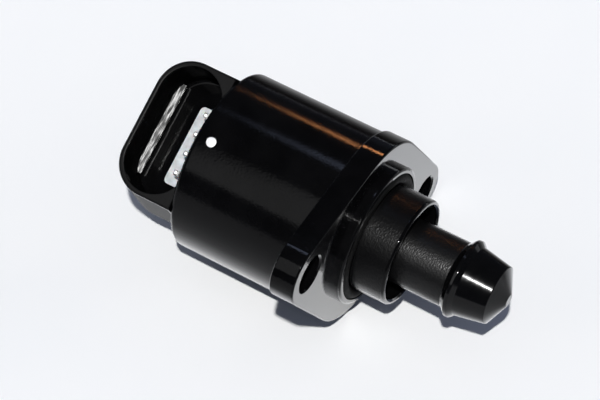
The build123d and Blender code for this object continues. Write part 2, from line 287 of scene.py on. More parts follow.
class Graph:
    """Node graph of one material, which reads the object's own coordinates."""

    def __init__(self, name: str) -> None:
        """Starts a material with a plain shader.

        Args:
            name: Name of the material.
        """
        self.material = bpy.data.materials.new(name)
        self.material.use_nodes = True
        self.tree = self.material.node_tree
        self.shader = self.tree.nodes["Principled BSDF"]
        self.output = self.tree.nodes["Material Output"]
        self.place = self.add("ShaderNodeTexCoord").outputs["Object"]

    def add(self, kind: str, **settings: Any) -> bpy.types.Node:
        """A new node with its settings.

        Args:
            kind: Blender's name of the node's type.
            **settings: Properties of the node.

        Returns:
            The node.
        """
        node = self.tree.nodes.new(kind)
        for key, value in settings.items():
            setattr(node, key, value)
        return node

    def feed(self, socket: Socket, value: Any) -> None:
        """Links another node's output to a socket, or sets a constant on it.

        Args:
            socket: Input of a node.
            value: Output of another node, or a constant.
        """
        if isinstance(value, bpy.types.NodeSocket):
            self.tree.links.new(value, socket)
        else:
            socket.default_value = value

    def set(self, **inputs: Any) -> None:
        """Feeds the shader's inputs, with underscores for the spaces in their names."""
        for key, value in inputs.items():
            self.feed(self.shader.inputs[key.replace("_", " ")], value)

    def moved(self, scale: Point = (1, 1, 1), turn: float = 0.0) -> Socket:
        """The object's coordinates, turned about X and then stretched.

        Args:
            scale: Factors along the three axes.
            turn: Angle about X in radians.

        Returns:
            The new coordinates.
        """
        turned = self.add("ShaderNodeMapping")
        self.feed(turned.inputs["Vector"], self.place)
        self.feed(turned.inputs["Rotation"], (turn, 0, 0))
        stretched = self.add("ShaderNodeMapping")
        self.feed(stretched.inputs["Vector"], turned.outputs[0])
        self.feed(stretched.inputs["Scale"], scale)
        return stretched.outputs[0]

    def span(
        self, value: Socket, low: float, high: float, start: float = NOISE_LOW, end: float = NOISE_HIGH
    ) -> Socket:
        """A value mapped onto another range, and held beyond it.

        Args:
            value: The value.
            low: Result at start and below.
            high: Result at end and above.
            start: Value that gives the low result.
            end: Value that gives the high result.

        Returns:
            The result.
        """
        node = self.add("ShaderNodeMapRange")
        for key, number in (("From Min", start), ("From Max", end), ("To Min", low), ("To Max", high)):
            self.feed(node.inputs[key], number)
        self.feed(node.inputs["Value"], value)
        return node.outputs[0]

    def shades(self, value: Socket, low: Colour, high: Colour) -> Socket:
        """A colour between two, by where a value lies in the range of soft noise.

        Args:
            value: What picks the colour.
            low: Colour at the low end and below.
            high: Colour at the high end and above.

        Returns:
            The colour.
        """
        node = self.add("ShaderNodeValToRGB")
        first, last = node.color_ramp.elements
        first.position, last.position = NOISE_LOW, NOISE_HIGH
        first.color, last.color = (*low, 1), (*high, 1)
        self.feed(node.inputs[0], value)
        return node.outputs[0]

    def calc(self, operation: str, *values: Any) -> Socket:
        """The result of a math node for its values.

        Args:
            operation: Blender's name of the operation.
            *values: One to three sockets or numbers.

        Returns:
            The result.
        """
        node = self.add("ShaderNodeMath", operation=operation)
        for socket, value in zip(node.inputs, values):
            self.feed(socket, value)
        return node.outputs[0]

    def times(self, first: Any, second: Any) -> Socket:
        """The product of two values."""
        return self.calc("MULTIPLY", first, second)

    def most(self, first: Any, second: Any) -> Socket:
        """The larger of two values."""
        return self.calc("MAXIMUM", first, second)

    def rest(self, share: Socket) -> Socket:
        """What a share leaves of one."""
        return self.calc("SUBTRACT", 1.0, share)

    def parts(self, place: Socket) -> tuple[Socket, Socket, Socket]:
        """The three coordinates of a place.

        Args:
            place: A vector.

        Returns:
            Its x, y and z.
        """
        node = self.add("ShaderNodeSeparateXYZ")
        self.feed(node.inputs[0], place)
        return tuple(node.outputs)

    def within(self, value: Socket, low: float, high: float) -> Socket:
        """One where a value lies between two limits, and zero elsewhere."""
        return self.calc("COMPARE", value, (low + high) / 2, (high - low) / 2)

    def outward(self, direction: Socket) -> Socket:
        """A direction in the object as a normal.

        Args:
            direction: Direction in the object's coordinates.

        Returns:
            The normal.
        """
        node = self.add("ShaderNodeVectorTransform", vector_type="NORMAL")
        node.convert_from, node.convert_to = "OBJECT", "WORLD"
        self.feed(node.inputs[0], direction)
        return node.outputs[0]

    def either(self, share: Socket, first: Socket, second: Socket) -> Socket:
        """The first vector where a share is zero, and the second where it is one.

        Args:
            share: Zero or one.
            first: A vector.
            second: Another vector.

        Returns:
            One of the vectors.
        """
        node = self.add("ShaderNodeMix", data_type="VECTOR")
        for key, value in (("Factor_Float", share), ("A_Vector", first), ("B_Vector", second)):
            self.feed(next(socket for socket in node.inputs if socket.identifier == key), value)
        return next(socket for socket in node.outputs if socket.identifier == "Result_Vector")

    def bump(self, height: Socket, depth: float, below: Socket | None = None, strength: Any = 1.0) -> Socket:
        """A normal bent by a height.

        Args:
            height: Height from 0 to 1.
            depth: What a height of 1 is in metres.
            below: A normal that is already bent.
            strength: Share of the bend that is used.

        Returns:
            The bent normal.
        """
        node = self.add("ShaderNodeBump")
        self.feed(node.inputs["Height"], height)
        self.feed(node.inputs["Distance"], depth)
        self.feed(node.inputs["Strength"], strength)
        if below is not None:
            self.feed(node.inputs["Normal"], below)
        return node.outputs[0]


@dataclass(frozen=True)
class Texture:
    """Soft noise of one size.

    Attributes:
        size: Width of one blotch.
        detail: Number of finer layers.
        stretch: Closeness of the blotches along the three axes.
    """

    size: float
    detail: float
    stretch: Point = (1.0, 1.0, 1.0)

    def height(self, graph: Graph, turn: float = 0.0) -> Socket:
        """The noise from 0 to 1.

        Args:
            graph: The material's graph.
            turn: Angle about X that its coordinates are turned by.

        Returns:
            The noise.
        """
        node = graph.add("ShaderNodeTexNoise")
        graph.feed(node.inputs["Vector"], graph.moved(self.stretch, turn))
        graph.feed(node.inputs["Scale"], 1 / self.size)
        graph.feed(node.inputs["Detail"], self.detail)
        return node.outputs[0]


@dataclass(frozen=True)
class Box:
    """A box of the valve as drawn.

    Attributes:
        low: Lower corner.
        high: Upper corner.
    """

    low: Point
    high: Point

    def mask(self, graph: Graph, roll: float) -> Socket:
        """One inside the box of the rolled valve, and zero elsewhere.

        Args:
            graph: The material's graph.
            roll: Roll of the valve as it lies.

        Returns:
            The mask.
        """
        drawn = graph.parts(graph.moved(turn=-roll))
        x, y, z = (graph.within(*limits) for limits in zip(drawn, self.low, self.high))
        return graph.times(graph.times(x, y), z)


# Finishes


@dataclass(frozen=True)
class Finish(ABC):
    """A finish that one or more pieces share.

    Attributes:
        name: Name of the material.
    """

    name: str

    @abstractmethod
    def paint(self, graph: Graph) -> None:
        """Fills the graph of a new material."""

    def material(self) -> bpy.types.Material:
        """The finish's material, made the first time that it is asked for.

        Returns:
            The material.
        """
        known = bpy.data.materials.get(self.name)
        if known is not None:
            return known
        graph = Graph(self.name)
        self.paint(graph)
        return graph.material

    def coat(self, piece: bpy.types.Object) -> None:
        """Puts the finish on a piece.

        Args:
            piece: The piece.
        """
        if piece.material_slots:
            piece.material_slots[0].material = self.material()
        else:
            piece.data.materials.append(self.material())


@dataclass(frozen=True)
class BlackMoulding(Finish):
    """Glossy black moulded plastic with a slight orange peel and a fine grain.

    Attributes:
        dark: Darkest shade of the plastic.
        light: Lightest shade of the plastic.
        blotch: Texture of the shade.
        smooth: Lowest roughness.
        rough: Highest roughness.
        fine: Texture of the gloss.
        peel: Texture of the orange peel.
        peel_depth: Depth of the orange peel.
        grain: Texture of the grain.
        grain_depth: Depth of the grain.
        ior: Refractive index of the plastic.
        front_gloss: Share of its mirror gloss that is left where it is seen square on.
        skin_ior: Refractive index of the glossy skin.
        slant: How far aslant the skin begins to mirror and mirrors in full, from 0 square on to 1 edge on.
    """

    dark: Colour = (0.0014, 0.0014, 0.0016)
    light: Colour = (0.003, 0.003, 0.0033)
    blotch: Texture = Texture(6.0 * MM, 3)
    smooth: float = 0.1
    rough: float = 0.14
    fine: Texture = Texture(0.8 * MM, 4)
    peel: Texture = Texture(1.4 * MM, 1)
    peel_depth: float = 0.006 * MM
    grain: Texture = Texture(0.4 * MM, 2)
    grain_depth: float = 0.018 * MM
    ior: float = 1.3
    front_gloss: float = 0.35
    skin_ior: float = 1.5
    slant: Range = (0.5, 0.78)

    def paint(self, graph: Graph) -> None:
        """Shades, gloss and relief of the plastic.

        Args:
            graph: The material's graph.
        """
        normal = self.relief(graph, graph.bump(self.peel.height(graph), self.peel_depth))
        aslant = graph.add("ShaderNodeLayerWeight").outputs["Facing"]
        graph.set(
            Base_Color=graph.shades(self.blotch.height(graph), self.dark, self.light),
            Roughness=graph.most(self.polished(graph), self.dull(graph)),
            IOR=self.ior,
            Specular_Tint=(self.front_gloss, self.front_gloss, self.front_gloss, 1),
            Coat_Weight=self.skin(graph, aslant),
            Coat_Roughness=self.smooth,
            Coat_IOR=self.skin_ior,
            Normal=normal,
            Coat_Normal=normal,
        )

    def polished(self, graph: Graph) -> Socket:
        """The roughness of the polished places, by a fine noise."""
        return graph.span(self.fine.height(graph), self.smooth, self.rough)

    def dull(self, graph: Graph) -> Socket | float:
        """The roughness of the dull places, and zero elsewhere."""
        return 0.0

    def grained(self, graph: Graph) -> Socket | float:
        """One where the plastic has its grain, and zero elsewhere."""
        return 1.0

    def skin(self, graph: Graph, aslant: Socket) -> Socket:
        """The weight of the glossy skin, by how far aslant it is seen."""
        return graph.span(aslant, 0, 1, *self.slant)

    def relief(self, graph: Graph, below: Socket) -> Socket:
        """The normal with the grain over the orange peel."""
        return graph.bump(self.grain.height(graph), self.grain_depth, below, self.grained(graph))


@dataclass(frozen=True)
class HousingMoulding(BlackMoulding):
    """The housing's plastic, polished in the connector's well, dull round it and with tool marks on its ledge.

    Attributes:
        roll: Roll of the valve as it lies.
        shell: The connector's walls below their rounded edge.
        rim: The flat rim of the walls.
        wall_rough: Roughness of the outer walls and the rim.
        well: The connector's well.
        well_rough: Roughness of the well.
        ledge: The ledge in the well.
        ledge_rough: Lowest and highest roughness of the ledge, outside and inside its tool marks.
        marks: Texture of the tool marks, stretched along the ledge.
        mark_edges: Values of that texture where a mark begins and is full.
        mark_depth: Depth of the tool marks.
    """

    roll: float = 0.0
    shell: Box = Box((-48.0 * MM, -17.0 * MM, -18.0 * MM), (-32.2 * MM, 17.0 * MM, 11.4 * MM))
    rim: Box = Box((-48.0 * MM, -17.0 * MM, 11.92 * MM), (-32.2 * MM, 17.0 * MM, 12.2 * MM))
    wall_rough: float = 0.42
    well: Box = Box((-45.3 * MM, -12.9 * MM, 1.6 * MM), (-32.2 * MM, 12.9 * MM, 11.5 * MM))
    well_rough: float = 0.07
    ledge: Box = Box((-44.9 * MM, -9.4 * MM, 2.9 * MM), (-43.1 * MM, 9.4 * MM, 4.3 * MM))
    ledge_rough: Range = (0.27, 0.52)
    marks: Texture = Texture(0.2 * MM, 2, (1.0, 1 / 12, 1.0))
    mark_edges: Range = (0.4, 0.6)
    mark_depth: float = 0.014 * MM

    def inside(self, graph: Graph, box: Box) -> Socket:
        """One inside a box of the drawn valve, and zero elsewhere."""
        return box.mask(graph, self.roll)

    def polished(self, graph: Graph) -> Socket:
        """The roughness of the polished places, which is lowest in the well."""
        outside = graph.calc("SUBTRACT", super().polished(graph), self.inside(graph, self.well))
        return graph.most(outside, self.well_rough)

    def dull(self, graph: Graph) -> Socket:
        """The roughness of the outer walls, the rim and the streaked ledge, and zero elsewhere.

        Args:
            graph: The material's graph.

        Returns:
            The roughness.
        """
        walls = graph.calc("SUBTRACT", self.inside(graph, self.shell), self.inside(graph, self.well))
        walls = graph.times(graph.most(walls, self.inside(graph, self.rim)), self.wall_rough)
        streaks = graph.span(self.marks.height(graph, -self.roll), *self.ledge_rough, *self.mark_edges)
        return graph.most(walls, graph.times(self.inside(graph, self.ledge), streaks))

    def grained(self, graph: Graph) -> Socket:
        """One outside the well, and zero in it."""
        return graph.rest(self.inside(graph, self.well))

    def skin(self, graph: Graph, aslant: Socket) -> Socket:
        """The glossy skin, which the connector has none of below its rim."""
        return graph.times(super().skin(graph, aslant), graph.rest(self.inside(graph, self.shell)))

    def relief(self, graph: Graph, below: Socket) -> Socket:
        """The normal with the grain, and with tool marks on the ledge."""
        normal, ledge = super().relief(graph, below), self.inside(graph, self.ledge)
        return graph.bump(self.marks.height(graph, -self.roll), self.mark_depth, normal, ledge)


@dataclass(frozen=True)
class CoverMoulding(BlackMoulding):
    """The cover's plastic, glossier than the housing's, with a coarser grain on its sleeve than on its flange.

    Attributes:
        collar_x: First and last station of the collar's wall.
        collar_r: Radius beyond which that is the collar's wall.
        sleeve_x: First and last station of the coarse grain.
        sleeve_grain: Texture of the coarse grain, drawn out round the sleeve.
        sleeve_depth: Depth of the coarse grain.
        sleeve_rough: Roughness of the sleeve.
        face_slant: How far aslant the flange's skin begins to mirror and mirrors in full.
    """

    smooth: float = 0.05
    rough: float = 0.07
    grain_depth: float = 0.01 * MM
    skin_ior: float = 2.0
    collar_x: Range = (0.3 * MM, 1.5 * MM)
    collar_r: float = 13.55 * MM
    sleeve_x: Range = (2.1 * MM, 8.4 * MM)
    sleeve_grain: Texture = Texture(0.28 * MM, 2, (1.0, 0.5, 0.5))
    sleeve_depth: float = 0.065 * MM
    sleeve_rough: float = 0.34
    face_slant: Range = (0.45, 0.65)

    def on_sleeve(self, graph: Graph) -> Socket:
        """One on the sleeve, and zero on the flange."""
        return graph.within(graph.parts(graph.place)[0], *self.sleeve_x)

    def collar_wall(self, graph: Graph, below: Socket) -> Socket:
        """A normal that stands square to the axis on the collar's wall.

        Args:
            graph: The material's graph.
            below: Normal of the rest.

        Returns:
            The normal of both.
        """
        x, y, z = graph.parts(graph.place)
        radius = graph.calc("SQRT", graph.calc("MULTIPLY_ADD", y, y, graph.times(z, z)))
        outside = graph.calc("GREATER_THAN", radius, self.collar_r)
        wall = graph.times(graph.within(x, *self.collar_x), outside)
        return graph.either(wall, below, graph.outward(graph.moved((0, 1, 1))))

    def dull(self, graph: Graph) -> Socket:
        """The roughness of the sleeve, and zero on the flange."""
        return graph.times(self.on_sleeve(graph), self.sleeve_rough)

    def skin(self, graph: Graph, aslant: Socket) -> Socket:
        """The glossy skin, which is fuller on the flange than on the sleeve."""
        face = graph.times(graph.rest(self.on_sleeve(graph)), graph.span(aslant, 0, 1, *self.face_slant))
        return graph.most(super().skin(graph, aslant), face)

    def relief(self, graph: Graph, below: Socket) -> Socket:
        """The normal with the collar's even wall, the fine grain all over and the coarse one on the sleeve."""
        normal = super().relief(graph, self.collar_wall(graph, below))
        return graph.bump(self.sleeve_grain.height(graph), self.sleeve_depth, normal, self.on_sleeve(graph))


@dataclass(frozen=True)
class PlungerMoulding(BlackMoulding):
    """The plunger's plastic, coarsely grained on its stem and polished on its rib, seat and tip.

    Attributes:
        stem_end: Station where the grain ends.
        stem_rough: Roughness of the stem.
    """

    front_gloss: float = 0.75
    grain: Texture = Texture(0.28 * MM, 2, (1.0, 0.6, 0.6))
    grain_depth: float = 0.065 * MM
    stem_end: float = 18.3 * MM
    stem_rough: float = 0.36

    def grained(self, graph: Graph) -> Socket:
        """One on the stem, and zero on the rest."""
        return graph.calc("LESS_THAN", graph.parts(graph.place)[0], self.stem_end)

    def dull(self, graph: Graph) -> Socket:
        """The roughness of the stem, and zero on the rest."""
        return graph.times(self.grained(graph), self.stem_rough)


@dataclass(frozen=True)
class CloudyFinish(Finish):
    """A finish whose shade and gloss follow one texture, with fine pits.

    Attributes:
        dark: Shade of the darker places.
        light: Shade of the lighter places.
        rough: Roughness of the darker and the lighter places.
        cloud: Texture of shade and gloss.
        pits: Texture of the pits.
        pit_depth: Depth of the pits.
        ior: Refractive index.
    """

    dark: Colour
    light: Colour
    rough: Range
    cloud: Texture
    pits: Texture
    pit_depth: float
    ior: float = 1.5

    def paint(self, graph: Graph) -> None:
        """Shade, gloss and pits.

        Args:
            graph: The material's graph.
        """
        cloud = self.cloud.height(graph)
        graph.set(
            Base_Color=graph.shades(cloud, self.dark, self.light),
            Roughness=graph.span(cloud, *self.rough),
            IOR=self.ior,
            Normal=graph.bump(self.pits.height(graph), self.pit_depth),
        )


@dataclass(frozen=True)
class Rubber(CloudyFinish):
    """Black seal rubber with a dull, slightly dusty skin."""

    dark: Colour = (0.002, 0.002, 0.002)
    light: Colour = (0.005, 0.005, 0.005)
    rough: Range = (0.45, 0.65)
    cloud: Texture = Texture(0.5 * MM, 4)
    pits: Texture = Texture(0.15 * MM, 3)
    pit_depth: float = 0.008 * MM
    ior: float = 1.15


@dataclass(frozen=True)
class Ferrite(CloudyFinish):
    """Ground ferrite, dark grey with fine pores."""

    dark: Colour = (0.028, 0.028, 0.031)
    light: Colour = (0.062, 0.062, 0.066)
    rough: Range = (0.42, 0.6)
    cloud: Texture = Texture(1.5 * MM, 4)
    pits: Texture = Texture(0.12 * MM, 3)
    pit_depth: float = 0.008 * MM
    ior: float = 1.9


@dataclass(frozen=True)
class Paint(CloudyFinish):
    """A dab of white marking paint, with faint strokes."""

    dark: Colour = (0.8, 0.81, 0.82)
    light: Colour = (0.92, 0.92, 0.92)
    rough: Range = (0.3, 0.45)
    cloud: Texture = Texture(0.5 * MM, 3, (1.0, 0.4, 0.4))
    pits: Texture = cloud
    pit_depth: float = 0.03 * MM


@dataclass(frozen=True)
class PaleMoulding(CloudyFinish):
    """Natural moulded plastic, a little cloudy.

    Attributes:
        haze: Share of the light that goes under its skin.
        haze_reach: How far that light goes.
    """

    rough: Range = (0.4, 0.55)
    cloud: Texture = Texture(1.2 * MM, 4)
    pits: Texture = Texture(0.35 * MM, 3)
    pit_depth: float = 0.012 * MM
    ior: float = 1.46
    haze: float = 0.15
    haze_reach: float = 0.4 * MM

    def paint(self, graph: Graph) -> None:
        """Clouds, satin gloss and grain, with some light under the skin."""
        super().paint(graph)
        graph.set(Subsurface_Weight=self.haze, Subsurface_Scale=self.haze_reach)


@dataclass(frozen=True)
class Metal(Finish):
    """Metal with the marks of how it was worked.

    Attributes:
        dark: Shade of the duller places.
        light: Shade of the brighter places.
        rough: Lowest and highest roughness.
        lines: Texture of the working marks.
        line_depth: Depth of the working marks.
        tarnish: Texture of the shade.
    """

    dark: Colour
    light: Colour
    rough: Range = (0.22, 0.38)
    lines: Texture = Texture(0.12 * MM, 2, (1.0, 0.05, 0.05))
    line_depth: float = 0.004 * MM
    tarnish: Texture = Texture(2.5 * MM, 4)

    def paint(self, graph: Graph) -> None:
        """Tarnish, gloss and working marks.

        Args:
            graph: The material's graph.
        """
        lines = self.lines.height(graph)
        graph.set(
            Base_Color=graph.shades(self.tarnish.height(graph), self.dark, self.light),
            Metallic=1.0,
            Roughness=graph.span(lines, *self.rough),
            Normal=graph.bump(lines, self.line_depth),
        )


@dataclass(frozen=True)
class EnamelledWire(Finish):
    """Copper wire under clear enamel.

    Attributes:
        dark: Shade of the darker turns.
        light: Shade of the lighter turns.
        rough: Roughness of the darker and the lighter turns.
        turns: Texture that varies from turn to turn.
        enamel: Weight of the enamel.
        enamel_rough: Roughness of the enamel.
    """

    dark: Colour = (0.42, 0.13, 0.045)
    light: Colour = (0.72, 0.3, 0.12)
    rough: Range = (0.22, 0.34)
    turns: Texture = Texture(0.4 * MM, 2, (1.0, 0.15, 0.15))
    enamel: float = 0.6
    enamel_rough: float = 0.12

    def paint(self, graph: Graph) -> None:
        """Copper that varies from turn to turn, under a clear coat.

        Args:
            graph: The material's graph.
        """
        turns = self.turns.height(graph)
        graph.set(
            Base_Color=graph.shades(turns, self.dark, self.light),
            Metallic=1.0,
            Roughness=graph.span(turns, *self.rough),
            Coat_Weight=self.enamel,
            Coat_Roughness=self.enamel_rough,
        )


@dataclass(frozen=True)
class Paper(Finish):
    """The white floor, which stays white to the eye where the lamp's light falls off.

    Attributes:
        lamp: Place of the main lamp.
        near: Distance from the main lamp to the floor under the valve.
        dark: Darkest shade of the paper.
        light: Lightest shade of the paper.
        mottle: Texture of the shade.
        falloff: Power of the distance by which the lamplight on the floor falls off.
        level: Brightness of the floor far from the lamp.
        tint: Colour of the floor far from the lamp.
    """

    lamp: Point
    near: float
    dark: Colour = (0.925, 0.94, 0.955)
    light: Colour = (0.945, 0.955, 0.965)
    mottle: Texture = Texture(30.0 * MM, 3)
    falloff: float = 4.0
    level: float = 0.84
    tint: Colour = (0.97, 0.985, 1.0)

    def paint(self, graph: Graph) -> None:
        """White paper, and a glow that takes over as the lamplight falls off.

        The light of a small lamp falls off by the fourth power of the distance from it: by the square, and once
        more for the slant at the floor and at the lamp. What is missing of the light under the valve is added
        for the rays that show the floor, and none of it lights the valve.

        Args:
            graph: The material's graph.
        """
        graph.set(
            Base_Color=graph.shades(self.mottle.height(graph), self.dark, self.light),
            Roughness=PAPER_ROUGH,
            Specular_IOR_Level=PAPER_GLOSS,
        )
        far = graph.add("ShaderNodeVectorMath", operation="DISTANCE")
        graph.feed(far.inputs[0], graph.place)
        graph.feed(far.inputs[1], self.lamp)
        share = graph.calc("POWER", graph.calc("DIVIDE", self.near, far.outputs["Value"]), self.falloff)
        missing = graph.most(graph.rest(share), 0.0)
        path = graph.add("ShaderNodeLightPath").outputs
        seen = graph.most(path["Is Camera Ray"], path["Is Glossy Ray"])
        seen = graph.most(seen, path["Is Transmission Ray"])
        glow = graph.add("ShaderNodeEmission")
        graph.feed(glow.inputs["Color"], (*self.tint, 1))
        graph.feed(glow.inputs["Strength"], graph.times(graph.times(missing, seen), self.level))
        both = graph.add("ShaderNodeAddShader")
        graph.feed(both.inputs[0], graph.shader.outputs[0])
        graph.feed(both.inputs[1], glow.outputs[0])
        graph.feed(graph.output.inputs["Surface"], both.outputs[0])


@dataclass(frozen=True)
class PaintedReflectionSheet(Finish):
    """Painted reflection: grey paper that darkens from front to back, which only the gloss of the valve shows.

    Attributes:
        shade: Lowest and highest shade under the valve's axis.
        fade: Distance along Y over which it darkens to a third.
        mottle: Texture of the shade.
    """

    shade: Range = (0.855, 0.9)
    fade: float = 0.05
    mottle: Texture = Texture(20.0 * MM, 2)

    def paint(self, graph: Graph) -> None:
        """A painted shade that falls off as the exponential of the distance, with a faint mottle.

        Args:
            graph: The material's graph.
        """
        # Painted reflection: the shade falls off with the distance along Y behind the valve.
        fall = graph.calc("EXPONENT", graph.calc("DIVIDE", graph.parts(graph.place)[1], -self.fade))
        shade = graph.times(fall, graph.span(self.mottle.height(graph), *self.shade))
        graph.set(Base_Color=shade, Roughness=PAPER_ROUGH, Specular_IOR_Level=PAPER_GLOSS)


# Sub-assemblies


def dress(nodes: Nodes, finishes: dict[str, Finish]) -> None:
    """Puts a finish on each named node.

    Args:
        nodes: Objects of the solids by name.
        finishes: Finish of each node.
    """
    for name, finish in finishes.items():
        finish.coat(nodes[name])
        LOG.info("%s has the finish %s", name, finish.name)


def seat(piece: bpy.types.Object, body: Body, slot: str, finish: Finish, *stands_for: str) -> None:
    """Dresses a new piece and fixes it to the body that it moves with.

    Args:
        piece: The new piece.
        body: Body that carries it.
        slot: Material slot of the record, which is not used.
        finish: Finish of the piece.
        *stands_for: Nodes that the piece replaces.
    """
    finish.coat(piece)
    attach(piece, body.value)
    if stands_for:
        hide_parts(*stands_for)
    LOG.info("%s rides on %s", piece.name, body.value)


@dataclass
class Housing:
    """Barrel with the connector's shell, and the dab of paint in the dimple of the barrel.

    Attributes:
        lying: How the valve lies.
        barrel_rear: Station of the barrel's rear.
        barrel_r: Radius of the barrel.
        dab_setback: Distance of the dab from the barrel's rear.
        dab_offset: Distance of the dab from the connector's middle plane.
        dab_r: Radius of the dab.
        dab_depth: Depth of the dimple that the dab fills.
        dab_crown: Height of the dab over the barrel.
        dab_edge: Power that squares the dab's profile.
        dab_lobes: Number, depth and turn of each set of lobes in the dab's outline.
        dab_pole: Share of the profile that is left open at its poles, which the caps close.
        dab_rows: Points up the profile.
        dab_columns: Points round the dab.
    """

    lying: Lying
    barrel_rear: float = -32.0 * MM
    barrel_r: float = 17.5 * MM
    dab_setback: float = 3.3 * MM
    dab_offset: float = 0.6 * MM
    dab_r: float = 0.98 * MM
    dab_depth: float = 0.28 * MM
    dab_crown: float = 0.05 * MM
    dab_edge: float = 0.3
    dab_lobes: tuple[tuple[int, float, float], ...] = ((3, 0.02, 1.0), (5, 0.012, 2.0))
    dab_pole: float = 0.02
    dab_rows: int = 24
    dab_columns: int = 48

    def build_dab(self) -> bpy.types.Object:
        """The dab of paint, a puck with a domed top and a slightly uneven outline.

        With s from 0 to 1 up the profile, the distance from the middle is the radius times the sine of 180 s
        to a small power, and the height is minus half the depth times the cosine to that power. The top gains
        a crown that falls with the square of the distance, and the outline has three and five shallow lobes.

        Returns:
            The new piece.
        """
        s = np.linspace(self.dab_pole, 1 - self.dab_pole, self.dab_rows)[:, None]
        turn = one_turn(self.dab_columns)
        out = np.sin(math.pi * s) ** self.dab_edge
        rise = -np.cos(math.pi * s)
        height = np.sign(rise) * np.abs(rise) ** self.dab_edge * self.dab_depth / 2
        height = height + np.where(rise > 0, self.dab_crown * (1 - out ** 2), 0)
        lobes = sum(depth * (1 + np.cos(count * turn + start)) for count, depth, start in self.dab_lobes)
        radius = self.dab_r * out * (1 - lobes)
        x = self.barrel_rear + self.dab_setback + radius * np.cos(turn)
        y = self.dab_offset + radius * np.sin(turn)
        z = self.barrel_r - self.dab_depth / 2 + height + 0 * turn
        return surface("paint_mark", self.lying.lay(np.stack([x, y, z], axis=-1)), Ends.CAPPED)

    def build(self, nodes: Nodes) -> None:
        """Dresses the housing and its seal and adds the dab of paint.

        Args:
            nodes: Objects of the solids by name.
        """
        black = HousingMoulding("housing_black", roll=self.lying.roll)
        dress(nodes, {"motor_housing": black, "housing_seal": Rubber("seal_skin")})
        seat(self.build_dab(), Body.VALVE, "carrier_plastic", Paint("marking_paint"))


@dataclass
class Connector:
    """The strip in the connector's well and the pins that stand in it.

    Attributes:
        pin_count: Number of pins.
    """

    pin_count: int = 4

    def build(self, nodes: Nodes) -> None:
        """Dresses the strip and the pins.

        Args:
            nodes: Objects of the solids by name.
        """
        strip = PaleMoulding("strip_natural", dark=(0.44, 0.46, 0.48), light=(0.64, 0.67, 0.7))
        tin = Metal(
            "tinned_pin", dark=(0.74, 0.74, 0.73), light=(0.88, 0.88, 0.87), rough=(0.42, 0.55),
            lines=Texture(0.12 * MM, 2, (0.1, 1.0, 1.0)),
        )
        pins = {f"terminal_pin_{number + 1}": tin for number in range(self.pin_count)}
        dress(nodes, {"terminal_carrier": strip, **pins})


@dataclass
class Cover:
    """Flange with its collar and sleeve, the seal between them and the bushes of screw and rotor."""

    def build(self, nodes: Nodes) -> None:
        """Dresses the cover, its seal and the bushes.

        Args:
            nodes: Objects of the solids by name.
        """
        bronze = Metal(
            "sintered_bronze", dark=(0.36, 0.22, 0.09), light=(0.55, 0.36, 0.16), rough=(0.4, 0.55),
            lines=Texture(0.12 * MM, 2),
        )
        dress(nodes, {
            "flange_cover": CoverMoulding("cover_black"),
            "nose_seal": Rubber("seal_skin"),
            "guide_bush": bronze,
            "rear_bush": bronze,
            "front_bush": bronze,
        })


@dataclass
class Stator:
    """Claw-pole cups and plates, end plates, bobbins and windings.

    Attributes:
        bore_r: Radius of the winding's bore.
        wire: Diameter of the wire, with its enamel.
        groove: Depth of the grooves between the turns, as a share of the wire.
        crease: Angle in degrees above which a winding's edge is sharp.
        columns: Points round a winding.
        samples: Points across one turn of wire.
    """

    bore_r: float = 11.3 * MM
    wire: float = 0.42 * MM
    groove: float = 0.4
    crease: float = 75.0
    columns: int = 96
    samples: int = 6

    def build_winding(self, name: str, node: str) -> bpy.types.Object:
        """A winding of round wire that fills the box of a plain ring.

        The profile runs once round the ring's rectangular section. At each place it lies inside the rectangle
        by a share of the wire times one minus the size of the sine of its phase, which gains half a turn for
        each wire along the profile and half a turn for each turn round the axis, so the wires form a helix.

        Args:
            name: Name of the new piece.
            node: The plain ring that it stands for.

        Returns:
            The new piece.
        """
        low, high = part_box(node)
        outer = (high.y - low.y) / 2
        inner = self.bore_r
        corners = np.array([(low.x, outer), (high.x, outer), (high.x, inner), (low.x, inner), (low.x, outer)])
        inward = np.array([(0, -1), (-1, 0), (0, 1), (1, 0)])
        sides = np.linalg.norm(np.diff(corners, axis=0), axis=1)
        marks = np.concatenate([[0], np.cumsum(sides)])
        wires = round(marks[-1] / self.wire)
        run = np.linspace(0, marks[-1], wires * self.samples, endpoint=False)
        side = np.searchsorted(marks, run, side="right") - 1
        turn = one_turn(self.columns)
        phase = math.pi * wires * run[:, None] / marks[-1] + turn / 2
        sunk = self.groove * self.wire * (1 - np.abs(np.sin(phase)))
        x = np.interp(run, marks, corners[:, 0])[:, None] + inward[side, 0][:, None] * sunk
        radius = np.interp(run, marks, corners[:, 1])[:, None] + inward[side, 1][:, None] * sunk
        return surface(name, about_axis(x, radius, turn), Ends.JOINED, self.crease)

    def build(self, nodes: Nodes) -> None:
        """Dresses the stator and winds its coils.

        Args:
            nodes: Objects of the solids by name.
        """
        zinc = Metal(
            "zinc_plate", dark=(0.42, 0.43, 0.45), light=(0.6, 0.61, 0.62), rough=(0.3, 0.45),
            lines=Texture(0.3 * MM, 2, (0.3, 1.0, 1.0)),
        )
        spool = PaleMoulding("spool_natural", dark=(0.62, 0.58, 0.46), light=(0.74, 0.7, 0.58))
        for end in ("rear", "front"):
            steel = (f"{end}_stator_cup", f"{end}_stator_plate", f"{end}_end_plate")
            dress(nodes, {**dict.fromkeys(steel, zinc), f"{end}_bobbin": spool})
            winding = self.build_winding(f"{end}_winding", f"{end}_coil")
            seat(winding, Body.VALVE, "winding", EnamelledWire("enamelled_copper"), f"{end}_coil")


